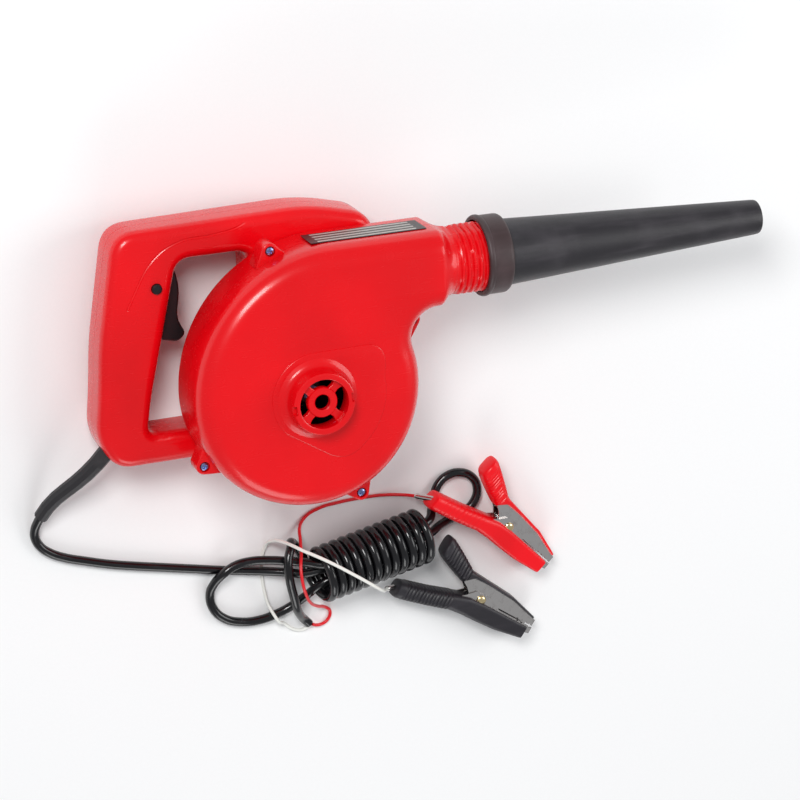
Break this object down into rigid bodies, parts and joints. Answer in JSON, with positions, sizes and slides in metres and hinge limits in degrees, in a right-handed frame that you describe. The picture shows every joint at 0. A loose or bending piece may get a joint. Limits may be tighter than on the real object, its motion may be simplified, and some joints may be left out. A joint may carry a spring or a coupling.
{
  "type": "car dryer blower",
  "caption": "Hand-held 12 V blower for drying a car, with a round fan housing, a D handle with a trigger, a long screw-on nozzle and a folded cord with battery clamps.",
  "frame": {"origin": "centre of the flat end of the motor cover, on the fan's axis, where the blower rests", "axes": "+X runs out along the nozzle, +Y points to the top bar of the handle, +Z points out of the air intake"},
  "size_m": [0.4807, 0.3282, 0.111],
  "materials": {
    "red_plastic": "glossy moulded ABS",
    "dark_nozzle": "satin moulded",
    "brown_collar": "satin moulded",
    "black_plastic": "moulded",
    "guard_rubber": "soft PVC, satin",
    "cord_jacket": "soft PVC, slightly glossy",
    "red_insulation": "soft PVC",
    "white_insulation": "soft PVC",
    "red_sleeve": "soft PVC, glossy",
    "black_sleeve": "soft PVC, satin",
    "zinc_screws": "blue zinc plate",
    "plated_steel": "bright nickel plate",
    "spring_steel": "bright drawn steel",
    "copper_parts": "copper and varnished windings",
    "brass_parts": "turned brass",
    "ferrite": "sintered ferrite and carbon"
  },
  "bodies": {
    "housing": {"fan_cover": "red_plastic", "front_housing": "red_plastic", "rear_housing": "red_plastic", "cover_screw_1": "zinc_screws", "cover_screw_2": "zinc_screws", "cover_screw_3": "zinc_screws", "cover_screw_4": "zinc_screws", "handle_screw_1": "zinc_screws", "handle_screw_2": "zinc_screws", "handle_screw_3": "zinc_screws", "handle_screw_4": "zinc_screws", "rating_label": "black_plastic", "motor_can": "spring_steel", "motor_end_cap": "black_plastic", "front_bush": "brass_parts", "rear_bush": "brass_parts", "magnet_1": "ferrite", "magnet_2": "ferrite", "brush_1": "ferrite", "brush_2": "ferrite", "motor_screw_1": "zinc_screws", "motor_screw_2": "zinc_screws", "trigger_spring": "spring_steel", "switch_body": "black_plastic", "supply_to_switch": "cord_jacket", "supply_to_motor": "red_insulation", "switch_to_motor": "cord_jacket", "cord_guard": "guard_rubber", "cord_clamp": "black_plastic", "cord_inside": "cord_jacket", "cord_lead": "cord_jacket", "cord_left_loop": "cord_jacket", "cord_right_loop": "cord_jacket", "cord_tail": "cord_jacket", "cord_hank": "cord_jacket", "wire_red": "red_insulation", "wire_white": "white_insulation", "red_clamp_fixed_jaw": "plated_steel", "red_clamp_rivet": "brass_parts", "red_clamp_spring": "spring_steel", "red_clamp_fixed_sleeve": "red_sleeve", "black_clamp_fixed_jaw": "plated_steel", "black_clamp_rivet": "brass_parts", "black_clamp_spring": "spring_steel", "black_clamp_fixed_sleeve": "black_sleeve"},
    "rotor": {"impeller": "black_plastic", "fan_nut": "zinc_screws", "motor_shaft": "spring_steel", "armature": "copper_parts", "commutator": "copper_parts"},
    "trigger_body": {"trigger": "black_plastic"},
    "lock": {"lock_button": "black_plastic"},
    "nozzle": {"nozzle_tube": "dark_nozzle"},
    "collar": {"nozzle_collar": "brown_collar"},
    "red_jaw": {"red_clamp_moving_jaw": "plated_steel", "red_clamp_moving_sleeve": "red_sleeve"},
    "black_jaw": {"black_clamp_moving_jaw": "plated_steel", "black_clamp_moving_sleeve": "black_sleeve"}
  },
  "joints": [
    {"name": "fan_spin", "type": "hinge", "parent": "housing", "child": "rotor", "pos_m": [0, 0, 0.05], "axis": [0, 0, 1], "continuous": true},
    {"name": "trigger_pull", "type": "slide", "parent": "housing", "child": "trigger_body", "axis": [-0.9711, 0.2385, 0], "range_m": [0, 0.006], "stiffness_N_per_m": 800, "springref_m": -0.003, "deforming": ["trigger_spring"]},
    {"name": "lock_press", "type": "slide", "parent": "housing", "child": "lock", "axis": [0, 0, -1], "range_m": [0, 0.003], "stiffness_N_per_m": 500, "springref_m": -0.001},
    {"name": "nozzle_pull", "type": "slide", "parent": "housing", "child": "nozzle", "axis": [1, 0, 0], "range_m": [0, 0.0141]},
    {"name": "collar_turn", "type": "hinge", "parent": "nozzle", "child": "collar", "pos_m": [0.126, 0.069, 0.0715], "axis": [1, 0, 0], "range_deg": [0, 1260]},
    {"name": "red_clamp_open", "type": "hinge", "parent": "housing", "child": "red_jaw", "pos_m": [0.1558, -0.1386, 0.014], "axis": [0.0639, -0.0691, 0.9956], "range_deg": [0, 20], "stiffness_Nm_per_rad": 1, "springref_deg": -28.65, "deforming": ["red_clamp_spring"]},
    {"name": "black_clamp_open", "type": "hinge", "parent": "housing", "child": "black_jaw", "pos_m": [0.1359, -0.1896, 0.0106], "axis": [0, 0, 1], "range_deg": [0, 20], "stiffness_Nm_per_rad": 1, "springref_deg": -28.65, "deforming": ["black_clamp_spring"]}
  ],
  "couplings": [
    {"joint": "nozzle_pull", "follows": "collar_turn", "m_per_rad": 0.00063662}
  ]
}
